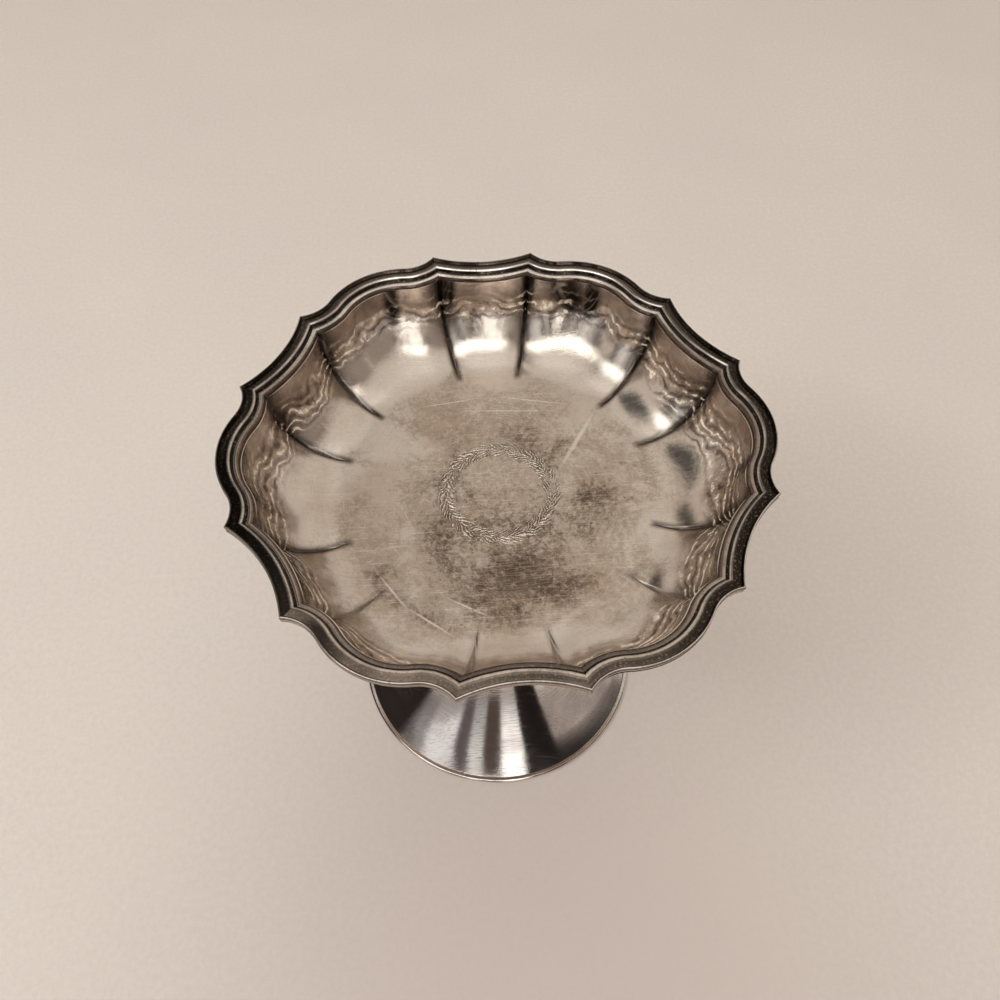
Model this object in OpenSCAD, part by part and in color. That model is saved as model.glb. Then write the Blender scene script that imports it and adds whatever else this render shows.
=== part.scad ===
// Footed compote bowl: a fluted sheet bowl with a mitred rim moulding on a spun trumpet foot.
// Origin at the middle of the foot's underside, +Z up, millimetres.
// The middles of the six hollows of the rim lie at 90, 150, 210 ... degrees, the crowns of the lobes between.

/* [Rim outline] */
// Radius of the circle through the twelve points of the rim
point_r = 82.5; // [76:0.5:92]
// Angle from the middle of a hollow to its points, degrees
hollow_half_angle = 11.85; // [11:0.05:12.6]
// Depth of a hollow below the points' circle, at its middle
hollow_dip = 5.2; // [4.4:0.1:6]
// Rise of a lobe's crown above the points' circle
lobe_rise = 0.7; // [0:0.1:1.6]
// Radius of a lobe's crown
crown_r = 27.2; // [25:0.2:30]
// Radius of the small sweep from a lobe out to a point
sweep_r = 12; // [10:0.5:14]

/* [Rim moulding] */
// Height of the moulding's lip above the table
lip_z = 150; // [130:0.5:170]
// Width of the moulding, square to the outline
moulding_w = 6.7; // [6.4:0.1:7.4]
// Height of the lip's upright outer edge
lip_h = 1; // [0.9:0.05:1.4]
// Width of the lip over its flat top
lip_w = 0.5; // [0.4:0.05:0.6]
// Rounding of the lip's outer edge
lip_round = 0.2; // [0.1:0.05:0.3]
// Fall of the moulding's underside from the lip to the inner edge
flange_fall = 2.4; // [2.2:0.1:3]
// Distance of the channel behind the lip
channel_in = 0.95; // [0.9:0.05:1.2]
// Depth of the channel below the lip
channel_drop = 0.85; // [0.6:0.05:1]
// Distance of the crest from the lip
crest_in = 3.3; // [3:0.05:3.6]
// Depth of the crest below the lip
crest_drop = 0.5; // [0.3:0.05:0.7]
// Distance of the groove from the lip
groove_in = 4.9; // [4.6:0.05:5.1]
// Depth of the groove below the lip
groove_drop = 2; // [1.7:0.05:2.1]
// Distance of the inner bead from the lip
bead_in = 5.4; // [5.3:0.05:5.7]
// Depth of the bead's top below the lip
bead_drop = 1.95; // [1.6:0.05:2]

/* [Bowl] */
// Thickness of the bowl's sheet
sheet_t = 1; // [0.7:0.1:1.4]
// Thickness of the flange under the moulding
flange_t = 0.8; // [0.5:0.1:1.2]
// Set-back of the flange's edge under the lip
flange_inset = 0.35; // [0:0.05:1]
// Film of solder between the flange and the moulding
solder_gap = 0.1; // [0.1:0.05:0.3]
// Set-back of the wall from the inner edge of the moulding
wall_reveal = 0.2; // [0.1:0.05:0.8]
// Depth of the floor below the lip
bowl_depth = 28; // [22:0.2:34]
// Radius of the flat floor, at the middle of a flute
floor_r = 49.5; // [45:0.5:53]
// Extra reach of the flat floor at the creases
petal_reach = 5.3; // [3:0.1:7]
// Radius at which the creases die out on the floor
crease_end_r = 47.4; // [40:0.2:49]
// Depth of the chased line along each crease
crease_d = 0.35; // [0.1:0.05:0.6]
// Half width of the chased line
crease_half_w = 1.3; // [0.9:0.1:1.8]

/* [Foot] */
// Radius of the foot over its edge ring
foot_r = 56.1; // [48:0.1:62]
// Thickness of the foot's sheet
foot_t = 0.9; // [0.6:0.1:1.3]
// Radius of the stem at its neck
neck_r = 10.5; // [8:0.5:14]
// Height of the neck above the table
neck_z = 99; // [80:1:105]
// Power of the trumpet curve, 1 for a cone
trumpet_power = 2.5; // [1.8:0.1:3]
// Extra flare of the sheet at the edge of the foot
flare_w = 3.5; // [2:0.1:5]
// Height over which that flare dies out
flare_h = 7; // [5:0.5:10]
// Radius of the seat where the stem meets the bowl
seat_r = 16; // [14:0.5:20]
// Height of the seat's upright edge
seat_edge_h = 1.2; // [0.8:0.1:2]
// Width of the solder fillet round the seat
solder_w = 1.4; // [0.8:0.1:2]

/* [Foot edge ring] */
// Width of the ring's section
ring_w = 1.6; // [1.2:0.1:2.4]
// Height of the ring's section
ring_h = 1.6; // [1.2:0.1:2.4]
// Step from the ring's top down to the foot's sheet
ring_step = 0.4; // [0.2:0.05:0.6]
// Height of the foot's sheet above the table
sheet_lift = 0.2; // [0.1:0.05:0.4]

/* [Hidden] */
SIDES = 6;

// Steps along a hollow, a sweep and a crown, up the bowl's wall, and on the curves of the foot
hollow_steps = 8;
sweep_steps = 4;
crown_steps = 8;
wall_steps = 10;
foot_steps = 26;
seat_steps = 8;
round_steps = 8;
lobe_steps = 2 * sweep_steps + crown_steps;
turn_fn = 120;

sector_angle = 360 / SIDES;
lobe_angle = sector_angle / 2;
first_hollow_angle = 90;

floor_z = lip_z - bowl_depth;
underside_z = floor_z - sheet_t;
wall_in = moulding_w + wall_reveal;

// Plane geometry

function turned(p, a) = [p.x * cos(a) - p.y * sin(a), p.x * sin(a) + p.y * cos(a)];
function polar(r, a) = [r * cos(a), r * sin(a)];
function mirrored(p) = [p.x, -p.y];
function direction(p) = (atan2(p.y, p.x) + 360) % 360;

// One of the two points where two circles meet, the one on the left of the way from c1 to c2
function meeting(c1, r1, c2, r2) =
    let (
        way = c2 - c1,
        far = norm(way),
        along = (far * far + r1 * r1 - r2 * r2) / (2 * far),
        across = sqrt(r1 * r1 - along * along),
        ahead = way / far
    )
    c1 + along * ahead + across * [-ahead.y, ahead.x];

// The outline, one sector with the middle of its hollow on +X. It is drawn at any distance
// `in` inside the outer lip: the hollow is one arc, the lobe a crown arc between two sweeps,
// and the arcs of neighbouring lengths meet at a sharp corner.

hollow_corner = polar(point_r, hollow_half_angle);
hollow_sagitta = hollow_corner.x - (point_r - hollow_dip);
hollow_arc_r = (pow(hollow_corner.y, 2) + pow(hollow_sagitta, 2)) / (2 * hollow_sagitta);
hollow_centre = [point_r - hollow_dip + hollow_arc_r, 0];

// The lobe's arcs, in a frame with the crown on +X
lobe_corner = polar(point_r, hollow_half_angle - lobe_angle);
crown_centre = [point_r + lobe_rise - crown_r, 0];
sweep_centre = meeting(crown_centre, crown_r + sweep_r, lobe_corner, sweep_r);
crown_half_angle = -atan2(sweep_centre.y, sweep_centre.x - crown_centre.x);
sweep_stop_a = 180 - crown_half_angle;

// The corner between a hollow and the next lobe, in the hollow's frame
function corner(in) =
    meeting(hollow_centre, hollow_arc_r + in, turned(sweep_centre, lobe_angle), sweep_r + in);

// Shares along a panel: the first step beside each corner is as wide as half a chased line
hollow_line_share = crease_half_w / (2 * hollow_corner.y);
sweep_line_share = crease_half_w / sweep_r;
function hollow_share(i) =
    i == 0 ? 0
    : i == hollow_steps ? 1
    : hollow_line_share + (1 - 2 * hollow_line_share) * (i - 1) / (hollow_steps - 2);
function sweep_share(i) =
    i == 0 ? 0 : sweep_line_share + (1 - sweep_line_share) * (i - 1) / (sweep_steps - 1);

// Part of a lobe's length that one sweep takes, and the shares along the whole lobe
sweep_length = sweep_r * abs(sweep_stop_a - direction(lobe_corner - sweep_centre));
sweep_part = sweep_length / (2 * sweep_length + 2 * crown_r * crown_half_angle);
function lobe_share(i) =
    i < sweep_steps ? sweep_part * sweep_share(i)
    : i > lobe_steps - sweep_steps ? 1 - sweep_part * sweep_share(lobe_steps - i)
    : sweep_part + (1 - 2 * sweep_part) * (i - sweep_steps) / crown_steps;

function hollow_point(in, i) =
    let (
        end = corner(in),
        half = atan2(end.y, hollow_centre.x - end.x),
        a = half * (2 * hollow_share(i) - 1)
    )
    hollow_centre + (hollow_arc_r + in) * [-cos(a), sin(a)];

function sweep_point(in, i) =
    let (
        start_a = direction(turned(corner(in), -lobe_angle) - sweep_centre),
        a = start_a + (sweep_stop_a - start_a) * sweep_share(i)
    )
    sweep_centre + polar(sweep_r + in, a);

function lobe_point(in, i) =
    i < sweep_steps ? sweep_point(in, i)
    : i > lobe_steps - sweep_steps ? mirrored(sweep_point(in, lobe_steps - i))
    : crown_centre + polar(crown_r - in, crown_half_angle * (2 * (i - sweep_steps) / crown_steps - 1));

// The whole closed outline, counterclockwise from the first corner of the first hollow
function outline(in) = [
    for (k = [0 : SIDES - 1])
        for (i = [0 : hollow_steps + lobe_steps - 1])
            turned(
                i < hollow_steps ? hollow_point(in, i)
                    : turned(lobe_point(in, i - hollow_steps), lobe_angle),
                first_hollow_angle + k * sector_angle
            )
];

// Nearness of each outline point to a corner: 1 at a corner, 0 at the middle of a flute
flute_power = 3;
corner_nearness = [
    for (k = [0 : SIDES - 1])
        for (i = [0 : hollow_steps + lobe_steps - 1])
            let (share = i < hollow_steps ? hollow_share(i) : lobe_share(i - hollow_steps))
            pow(abs(2 * share - 1), flute_power)
];

// Fall below the lip of the moulding's sloping underside, at a distance inside the lip
function underside_drop(in) = lip_h + flange_fall * in / moulding_w;

// Bowl

// A ring of points on the wall at the given share of its climb. The wall is a quarter ellipse
// from the floor's edge up to the outline, sunk square to itself along the chased lines.
function wall_ring(top, base_z, top_z, climb) = [
    for (j = [0 : len(top) - 1])
        let (
            near = corner_nearness[j],
            reach = norm(top[j]),
            out = top[j] / reach,
            start = floor_r + petal_reach * near,
            sunk = near == 1 ? crease_d : 0,
            r = start + (reach - start + sunk) * sin(climb),
            z = base_z + (top_z - base_z) * (1 - cos(climb)) - sunk * cos(climb)
        )
        [r * out.x, r * out.y, z]
];

function flat_ring(plan, z) = [for (p = plan) [p.x, p.y, z]];
function round_ring(plan, r, z) = [for (p = plan) let (far = norm(p)) [r * p.x / far, r * p.y / far, z]];

// A closed skin through rings of equal counts, with a flat cap inside the first and the last
module ring_skin(rings) {
    n = len(rings[0]);
    last = len(rings) - 1;
    points = [for (ring = rings) for (p = ring) p];
    sides = [
        for (i = [0 : last - 1])
            for (j = [0 : n - 1])
                let (a = i * n + j, b = i * n + (j + 1) % n)
                for (face = [[a, b, b + n], [a, b + n, a + n]])
                    face
    ];
    caps = [
        [for (j = [n - 1 : -1 : 0]) j],
        [for (j = [0 : n - 1]) last * n + j]
    ];
    polyhedron(points = points, faces = concat(sides, caps), convexity = 8);
}

// Height of the flange's top, parallel to the moulding's underside
function flange_z(in) = lip_z - underside_drop(in) - solder_gap;

module bowl() {
    outer_in = wall_in - sheet_t;
    inner_top = outline(wall_in);
    outer_top = outline(outer_in);
    edge = outline(flange_inset);
    edge_z = flange_z(flange_inset);
    outer_top_z = flange_z(outer_in) - flange_t;
    climbs = [for (i = [0 : wall_steps]) 90 * i / wall_steps];
    rings = concat(
        [round_ring(inner_top, crease_end_r, floor_z)],
        [for (c = climbs) wall_ring(inner_top, floor_z, flange_z(wall_in), c)],
        [flat_ring(edge, edge_z), flat_ring(edge, edge_z - flange_t)],
        [for (i = [wall_steps : -1 : 0]) wall_ring(outer_top, underside_z, outer_top_z, climbs[i])],
        [round_ring(outer_top, crease_end_r, underside_z)]
    );
    color("#a99c90") ring_skin(rings);
}

// Rim moulding

// The section of the moulding as [distance inside the lip, height above the lip's top]: a thin
// lip, a channel, a broad band up to the crest, a steep step down into a groove, and a bead.
// The curves between its named points are given as shares of the way from one to the next.
lip_inner_shares = [[0.45, 0.3], [1, 1]];
band_shares = [[0.36, 0.43], [0.7, 0.8], [1, 1]];
step_shares = [[0.28, 0.12], [0.5, 0.37], [0.75, 0.83], [1, 1]];
bead_shares = [[0.38, 0.07], [0.69, 0.31], [0.92, 0.69], [1, 1]];

function between(p, q, shares) = [
    for (s = shares) [p.x + (q.x - p.x) * s.x, p.y + (q.y - p.y) * s.y]
];

lip_point = [lip_w, 0];
channel_point = [channel_in, -channel_drop];
crest_point = [crest_in, -crest_drop];
groove_point = [groove_in, -groove_drop];
bead_point = [bead_in, -bead_drop];
inner_point = [moulding_w, -underside_drop(moulding_w)];

// The first two points lie on the underside, straight below the groove and the channel
section = concat(
    [
        [groove_in, -underside_drop(groove_in)],
        [channel_in, -underside_drop(channel_in)],
        [0, -lip_h],
        [0, -lip_round],
        [lip_round, 0],
        lip_point
    ],
    between(lip_point, channel_point, lip_inner_shares),
    between(channel_point, crest_point, band_shares),
    between(crest_point, groove_point, step_shares),
    [bead_point],
    between(bead_point, inner_point, bead_shares)
);
crest_index = 5 + len(lip_inner_shares) + len(band_shares);

// The triangles of a mitre: a fan from below the channel as far as the crest, then one from
// below the groove. Neighbouring lengths use the same ones, so that they meet face to face.
mitre_triangles = concat(
    [for (s = [2 : crest_index - 1]) [1, s, s + 1]],
    [[0, 1, crest_index]],
    [for (s = [crest_index : len(section) - 2]) [0, s, s + 1]]
);

// A length of moulding swept along a path of outline points, ending at both mitres.
// paths holds one list of plan points for each point of the section.
module moulding_length(paths) {
    n = len(section);
    last = len(paths[0]) - 1;
    points = [
        for (i = [0 : last])
            for (s = [0 : n - 1])
                [paths[s][i].x, paths[s][i].y, lip_z + section[s].y]
    ];
    sides = [
        for (i = [0 : last - 1])
            for (s = [0 : n - 1])
                let (a = i * n + s, b = i * n + (s + 1) % n)
                for (face = [[a, b, b + n], [a, b + n, a + n]])
                    face
    ];
    mitres = [
        for (t = mitre_triangles)
            for (face = [[t[0], t[2], t[1]], [last * n + t[0], last * n + t[1], last * n + t[2]]])
                face
    ];
    polyhedron(points = points, faces = concat(sides, mitres), convexity = 6);
}

module rim_lobe(k) {
    paths = [for (s = section) [for (i = [0 : lobe_steps]) lobe_point(s.x, i)]];
    color("#5f574f")
        rotate([0, 0, first_hollow_angle - lobe_angle + k * sector_angle])
            moulding_length(paths);
}

module rim_hollow(k) {
    paths = [for (s = section) [for (i = [0 : hollow_steps]) hollow_point(s.x, i)]];
    color("#6b635b")
        rotate([0, 0, first_hollow_angle + (k - 1) * sector_angle])
            moulding_length(paths);
}

// Foot

sheet_edge_r = foot_r - ring_w;
sheet_edge_z = ring_h - ring_step;
trumpet_base_r = sheet_edge_r - flare_w * pow(1 - sheet_edge_z / flare_h, 2);
trumpet_span = (trumpet_base_r - neck_r) / pow(1 - sheet_edge_z / neck_z, trumpet_power);
seat_bottom_z = underside_z - seat_edge_h;

// Outer radius of the trumpet at height z, and how fast it grows with z
function trumpet_r(z) =
    z > neck_z ? neck_r + (seat_r - neck_r) * pow((z - neck_z) / (seat_bottom_z - neck_z), 2)
    : neck_r + trumpet_span * pow(1 - z / neck_z, trumpet_power)
        + flare_w * pow(max(0, 1 - z / flare_h), 2);
function trumpet_slope(z) =
    z > neck_z ? 2 * (seat_r - neck_r) * (z - neck_z) / pow(seat_bottom_z - neck_z, 2)
    : -trumpet_power * trumpet_span * pow(1 - z / neck_z, trumpet_power - 1) / neck_z
        - 2 * flare_w * max(0, 1 - z / flare_h) / flare_h;
function trumpet_inner_r(z) = trumpet_r(z) - foot_t * norm([1, trumpet_slope(z)]);

// Heights of the profile's points, close together where the curve is tight
foot_spacing_power = 1.6;
trumpet_zs = concat(
    [
        for (i = [0 : foot_steps])
            sheet_edge_z + (neck_z - sheet_edge_z) * pow(i / foot_steps, foot_spacing_power)
    ],
    [for (i = [1 : seat_steps]) neck_z + (seat_bottom_z - neck_z) * i / seat_steps]
);

module foot() {
    last = len(trumpet_zs) - 1;
    inner_seat_r = trumpet_inner_r(seat_bottom_z);
    profile = concat(
        [[sheet_edge_r - foot_t, sheet_lift], [sheet_edge_r, sheet_lift]],
        [for (z = trumpet_zs) [trumpet_r(z), z]],
        [[seat_r, underside_z], [inner_seat_r, underside_z]],
        [for (i = [last : -1 : 0]) [trumpet_inner_r(trumpet_zs[i]), trumpet_zs[i]]]
    );
    color("#b4aaa2") rotate_extrude($fn = turn_fn) polygon(profile);
}

module foot_edge_ring() {
    round_r = ring_w / 2;
    section_points = concat(
        [[sheet_edge_r, 0]],
        [[foot_r - round_r / 2, 0], [foot_r, round_r / 2]],
        [
            for (i = [0 : round_steps])
                [foot_r - round_r, ring_h - round_r] + polar(round_r, 90 * i / round_steps)
        ],
        [[sheet_edge_r, ring_h]]
    );
    color("#c9c1b9") rotate_extrude($fn = turn_fn) polygon(section_points);
}

// The fillet of solder in the corner between the stem's seat and the underside of the bowl
module neck_solder() {
    section_points = concat(
        [[seat_r, underside_z], [seat_r, underside_z - seat_edge_h]],
        [
            for (i = [1 : round_steps - 1])
                [seat_r + solder_w, underside_z - seat_edge_h]
                    + [-solder_w * cos(90 * i / round_steps), seat_edge_h * sin(90 * i / round_steps)]
        ],
        [[seat_r + solder_w, underside_z]]
    );
    color("#8f8a85") rotate_extrude($fn = turn_fn) polygon(section_points);
}

bowl();
rim_lobe(1);  // rim_lobe_1
rim_lobe(2);  // rim_lobe_2
rim_lobe(3);  // rim_lobe_3
rim_lobe(4);  // rim_lobe_4
rim_lobe(5);  // rim_lobe_5
rim_lobe(6);  // rim_lobe_6
rim_hollow(1);  // rim_hollow_1
rim_hollow(2);  // rim_hollow_2
rim_hollow(3);  // rim_hollow_3
rim_hollow(4);  // rim_hollow_4
rim_hollow(5);  // rim_hollow_5
rim_hollow(6);  // rim_hollow_6
foot();
foot_edge_ring();
neck_solder();
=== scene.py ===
import math

import bmesh
import bpy
from mathutils import Matrix, Vector


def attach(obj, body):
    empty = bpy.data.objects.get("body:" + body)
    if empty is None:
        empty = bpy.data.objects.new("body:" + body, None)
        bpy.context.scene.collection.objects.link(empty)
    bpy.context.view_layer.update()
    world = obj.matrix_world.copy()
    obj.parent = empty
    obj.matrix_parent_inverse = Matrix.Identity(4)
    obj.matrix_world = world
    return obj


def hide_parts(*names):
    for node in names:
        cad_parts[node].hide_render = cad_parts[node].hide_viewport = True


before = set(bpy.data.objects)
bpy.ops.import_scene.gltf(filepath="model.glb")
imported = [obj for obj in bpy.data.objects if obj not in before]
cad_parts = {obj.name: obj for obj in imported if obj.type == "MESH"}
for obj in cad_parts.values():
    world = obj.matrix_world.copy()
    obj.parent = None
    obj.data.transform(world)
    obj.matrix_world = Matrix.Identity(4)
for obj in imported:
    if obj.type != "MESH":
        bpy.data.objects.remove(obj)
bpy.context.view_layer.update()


# The foot is one trumpet spun from sheet, open underneath, whose stem flares into a seat under
# the bowl. It is silver plate, polished, with faint turning lines all round from the spinning.
foot_edge_radius = 0.0545
foot_edge_height = 0.0012
foot_sheet = 0.0009
foot_sheet_lift = 0.0002
neck_radius = 0.0105
neck_height = 0.099
trumpet_power = 2.5
edge_flare = 0.0035
edge_flare_height = 0.007
seat_radius = 0.016
seat_bottom = 0.1198
bowl_underside = 0.121


def edge_flare_at(z):
    return edge_flare * max(0, 1 - z / edge_flare_height) ** 2


trumpet_span = (foot_edge_radius - edge_flare_at(foot_edge_height) - neck_radius) / (
    1 - foot_edge_height / neck_height
) ** trumpet_power


def trumpet_radius(z):
    if z > neck_height:
        climb = (z - neck_height) / (seat_bottom - neck_height)
        return neck_radius + (seat_radius - neck_radius) * climb**2
    return neck_radius + trumpet_span * (1 - z / neck_height) ** trumpet_power + edge_flare_at(z)


def inner_trumpet_radius(z):
    step = 0.00001
    slope = (trumpet_radius(z + step) - trumpet_radius(z)) / step
    return trumpet_radius(z) - foot_sheet * math.hypot(1, slope)


def spun_piece(name, profile, steps_round=240):
    """A closed profile of (radius, height) points, spun once round the stem."""
    bm = bmesh.new()
    points = [bm.verts.new((r, 0, z)) for r, z in profile]
    edges = [bm.edges.new(pair) for pair in zip(points, points[1:] + points[:1])]
    bmesh.ops.spin(
        bm,
        geom=points + edges,
        cent=(0, 0, 0),
        axis=(0, 0, 1),
        angle=math.tau,
        steps=steps_round,
        use_merge=True,
    )
    bmesh.ops.recalc_face_normals(bm, faces=bm.faces)
    return finished(bm, name)


def finished(bm, name, crisp_above=32):
    """The mesh as an object at the origin, smooth except at edges sharper than that angle."""
    mesh = bpy.data.meshes.new(name)
    bm.to_mesh(mesh)
    bm.free()
    mesh.polygons.foreach_set("use_smooth", [True] * len(mesh.polygons))
    mesh.set_sharp_from_angle(angle=math.radians(crisp_above))
    piece = bpy.data.objects.new(name, mesh)
    bpy.context.scene.collection.objects.link(piece)
    return piece


trumpet_steps = 90
seat_steps = 24
closer_at_edge = 1.6
outer_heights = [
    foot_edge_height + (neck_height - foot_edge_height) * (i / trumpet_steps) ** closer_at_edge
    for i in range(trumpet_steps + 1)
]
outer_heights += [
    neck_height + (seat_bottom - neck_height) * i / seat_steps for i in range(1, seat_steps + 1)
]
foot_profile = [
    (foot_edge_radius - foot_sheet, foot_sheet_lift),
    (foot_edge_radius, foot_sheet_lift),
    *[(trumpet_radius(z), z) for z in outer_heights],
    (seat_radius, bowl_underside),
    (inner_trumpet_radius(seat_bottom), bowl_underside),
    *[(inner_trumpet_radius(z), z) for z in reversed(outer_heights)],
]
foot = spun_piece("foot_trumpet", foot_profile)


class Finish:
    """A material or a world and its node tree, with short words for adding and joining nodes."""

    def __init__(self, name, shelf=bpy.data.materials, shader="Principled BSDF"):
        self.material = shelf.new(name)
        self.material.use_nodes = True
        self.tree = self.material.node_tree
        self.shader = self.tree.nodes[shader]

    def node(self, kind, inputs=(), **settings):
        made = self.tree.nodes.new("ShaderNode" + kind)
        for setting, value in settings.items():
            setattr(made, setting, value)
        for socket, value in dict(inputs).items():
            if isinstance(value, bpy.types.NodeSocket):
                self.tree.links.new(value, made.inputs[socket])
            else:
                made.inputs[socket].default_value = value
        return made

    def place(self, scale=(1, 1, 1), turn=0.0, shift=(0, 0, 0)):
        """The piece's own coordinates in metres, scaled, turned about the stem and shifted."""
        spot = self.node("TexCoord").outputs["Object"]
        return self.node(
            "Mapping",
            {"Vector": spot, "Location": shift, "Rotation": (0, 0, turn), "Scale": scale},
        ).outputs["Vector"]

    def along(self, vector):
        """How far a vector reaches to the right, to the back and up."""
        return list(self.node("SeparateXYZ", {0: vector}).outputs)

    def carried(self, name):
        """A value that the mesh carries at its points."""
        return self.node("Attribute", attribute_name=name).outputs["Fac"]

    def noise(self, vector, scale=1.0, detail=3.0, roughness=0.5, distortion=0.0):
        inputs = {
            "Vector": vector,
            "Scale": scale,
            "Detail": detail,
            "Roughness": roughness,
            "Distortion": distortion,
        }
        return self.node("TexNoise", inputs).outputs["Fac"]

    def math(self, operation, a, b=0.0, clamp=False):
        return self.node("Math", {0: a, 1: b}, operation=operation, use_clamp=clamp).outputs[0]

    def times(self, first, *others):
        for other in others:
            first = self.math("MULTIPLY", first, other)
        return first

    def remap(self, value, low, high, to_low=0.0, to_high=1.0):
        """value from low to high, brought smoothly to the range from to_low to to_high."""
        inputs = {
            "Value": value,
            "From Min": low,
            "From Max": high,
            "To Min": to_low,
            "To Max": to_high,
        }
        return self.node("MapRange", inputs, interpolation_type="SMOOTHSTEP").outputs[0]

    def mix(self, share, a, b):
        return self.node("Mix", {0: share, 6: a, 7: b}, data_type="RGBA").outputs[2]

    def ramp(self, value, *stops):
        """Colours that follow one another as the value goes from 0 to 1."""
        made = self.node("ValToRGB", {0: value})
        made.color_ramp.interpolation = "EASE"
        elements = made.color_ramp.elements
        elements.remove(elements[1])
        elements[0].position, elements[0].color = stops[0]
        for position, colour in stops[1:]:
            elements.new(position).color = colour
        return made.outputs[0]

    def bump(self, height, distance, strength=1.0, below=None):
        inputs = {"Height": height, "Distance": distance, "Strength": strength}
        if below is not None:
            inputs["Normal"] = below
        return self.node("Bump", inputs).outputs["Normal"]

    def feed(self, socket, value):
        if isinstance(value, bpy.types.NodeSocket):
            self.tree.links.new(value, self.shader.inputs[socket])
        else:
            self.shader.inputs[socket].default_value = value


foot_plate = Finish("foot_plate")
turning_lines = foot_plate.noise(foot_plate.place((14, 14, 2600)), detail=2.0)
haze = foot_plate.noise(foot_plate.place(), scale=55.0, detail=4.0)
rubs = foot_plate.noise(foot_plate.place((110, 3200, 900), turn=0.6), roughness=0.6)
foot_colour = foot_plate.mix(
    foot_plate.remap(haze, 0.35, 0.7), (0.84, 0.785, 0.75, 1), (0.56, 0.505, 0.475, 1)
)
foot_colour = foot_plate.mix(
    foot_plate.remap(rubs, 0.5, 0.68, 0.0, 0.4), foot_colour, (0.36, 0.32, 0.3, 1)
)
foot_dullness = foot_plate.math(
    "ADD", foot_plate.remap(haze, 0.3, 0.7, 0.06, 0.12), foot_plate.remap(rubs, 0.5, 0.7, 0.0, 0.1)
)
foot_relief = foot_plate.bump(turning_lines, distance=0.00003, strength=0.6)
foot_relief = foot_plate.bump(rubs, distance=0.00003, strength=0.6, below=foot_relief)
foot_plate.feed("Metallic", 1.0)
foot_plate.feed("Base Color", foot_colour)
foot_plate.feed("Roughness", foot_dullness)
foot_plate.feed("Normal", foot_relief)
foot.data.materials.append(foot_plate.material)
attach(foot, "root")
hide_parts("foot")


# The ring is a thin half-round wire of the same plate, soldered round the edge of the foot. The
# whole bowl stands on its flat underside, whose outer corner is worn round.
ring_outer_radius = 0.0561
ring_height = 0.0016
ring_round = 0.0008
ring_worn = 0.0004


def quarter_turn(steps):
    """The angles from 0 to 90 degrees in that many equal steps."""
    return [math.pi / 2 * i / steps for i in range(steps + 1)]


ring_profile = [
    (foot_edge_radius, 0),
    *[
        (ring_outer_radius - ring_worn * (1 - math.sin(a)), ring_worn * (1 - math.cos(a)))
        for a in quarter_turn(4)
    ],
    *[
        (
            ring_outer_radius - ring_round * (1 - math.cos(a)),
            ring_height - ring_round * (1 - math.sin(a)),
        )
        for a in quarter_turn(10)
    ],
    (foot_edge_radius, ring_height),
]
edge_ring = spun_piece("foot_ring", ring_profile)
edge_ring.data.materials.append(foot_plate.material)
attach(edge_ring, "root")
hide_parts("foot_edge_ring")


# The bowl is one sheet of silver plate, raised with the hammer: a flat floor, a wall of twelve
# fluted panels that meet in twelve chased lines, and a narrow flange that follows the wavy
# outline under the rim moulding.
lip_height = 0.150
point_radius = 0.0825
hollow_half_angle = math.radians(11.85)
hollow_dip = 0.0052
lobe_rise = 0.0007
crown_radius = 0.0272
sweep_radius = 0.012
moulding_width = 0.0067
lip_edge = 0.001
flange_fall = 0.0024
solder_film = 0.0001
gap_at_wall = 0.0002
wall_inset = moulding_width + gap_at_wall
flange_inset = 0.00035
bowl_sheet = 0.001
floor_height = 0.122
floor_radius = 0.0495
petal_reach = 0.0053
line_end_radius = 0.0474
line_depth = 0.00042
line_half_width = 0.0013


def around(radius, angle):
    return Vector((radius * math.cos(angle), radius * math.sin(angle), 0))


def turned(point, angle):
    return Matrix.Rotation(angle, 3, "Z") @ point


def across_x(point):
    """The same point on the other side of the X axis."""
    return Vector((point.x, -point.y, point.z))


def meeting(centre_a, radius_a, centre_b, radius_b):
    """Where two circles meet, on the left of the way from the first centre to the second."""
    way = centre_b - centre_a
    along = (way.length_squared + radius_a**2 - radius_b**2) / (2 * way.length)
    across = math.sqrt(radius_a**2 - along**2)
    ahead = way.normalized()
    return centre_a + along * ahead + across * Vector((-ahead.y, ahead.x, 0))


# Half a sector's outline: a hollow's arc with its middle on +X, and a lobe's arcs with the
# crown on +X. Lobes lie a twelfth of a turn on from the hollows.
lobe_turn = math.radians(30)
hollow_corner = around(point_radius, hollow_half_angle)
hollow_sagitta = hollow_corner.x - (point_radius - hollow_dip)
hollow_radius = (hollow_corner.y**2 + hollow_sagitta**2) / (2 * hollow_sagitta)
hollow_centre = Vector((point_radius - hollow_dip + hollow_radius, 0, 0))
crown_centre = Vector((point_radius + lobe_rise - crown_radius, 0, 0))
lobe_corner = around(point_radius, hollow_half_angle - lobe_turn)
sweep_centre = meeting(crown_centre, crown_radius + sweep_radius, lobe_corner, sweep_radius)
crown_half_angle = -math.atan2(sweep_centre.y, sweep_centre.x - crown_centre.x)


def corner(inset):
    """The point between a hollow and the next lobe, that far inside the lip."""
    return meeting(
        hollow_centre, hollow_radius + inset, turned(sweep_centre, lobe_turn), sweep_radius + inset
    )


def sweep_turn(inset):
    """The angle that a sweep turns through on its way from the corner to the crown."""
    start = turned(corner(inset), -lobe_turn) - sweep_centre
    turn = math.pi - crown_half_angle - math.atan2(start.y, start.x)
    return (turn + math.pi) % math.tau - math.pi


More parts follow.
